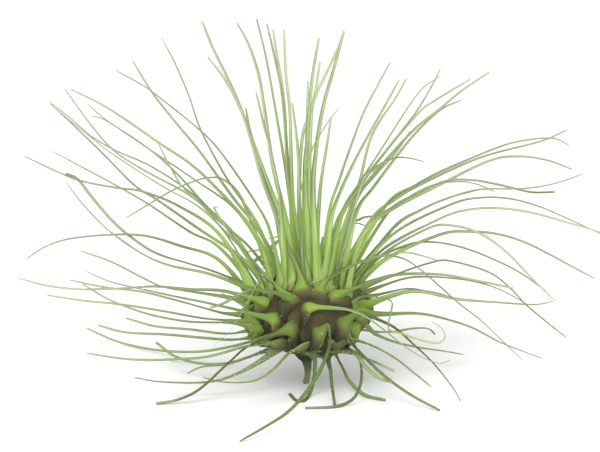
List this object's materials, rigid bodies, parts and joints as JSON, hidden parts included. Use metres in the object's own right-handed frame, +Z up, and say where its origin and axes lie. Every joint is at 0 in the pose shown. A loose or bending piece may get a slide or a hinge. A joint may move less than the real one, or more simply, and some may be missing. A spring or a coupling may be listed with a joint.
{
  "type": "air plant",
  "caption": "Whole air plant: long thin channelled leaves fan out and arch from a squat bulb of swollen overlapping leaf bases, on a short cut stem.",
  "frame": {"origin": "centre of the cut stem's flat foot, on the surface that the plant rests on", "axes": "+Z up, -Y towards the side that the picture shows, +X along the plant's widest spread, to the right as seen there"},
  "size_m": [0.1165, 0.0917, 0.0765],
  "materials": {
    "leaf": "matte green leaf, dark brown at the bases",
    "stem": "dry, matte dark brown"
  },
  "bodies": {
    "root": {"rosette": "leaf", "stem_stub": "stem"}
  },
  "joints": []
}
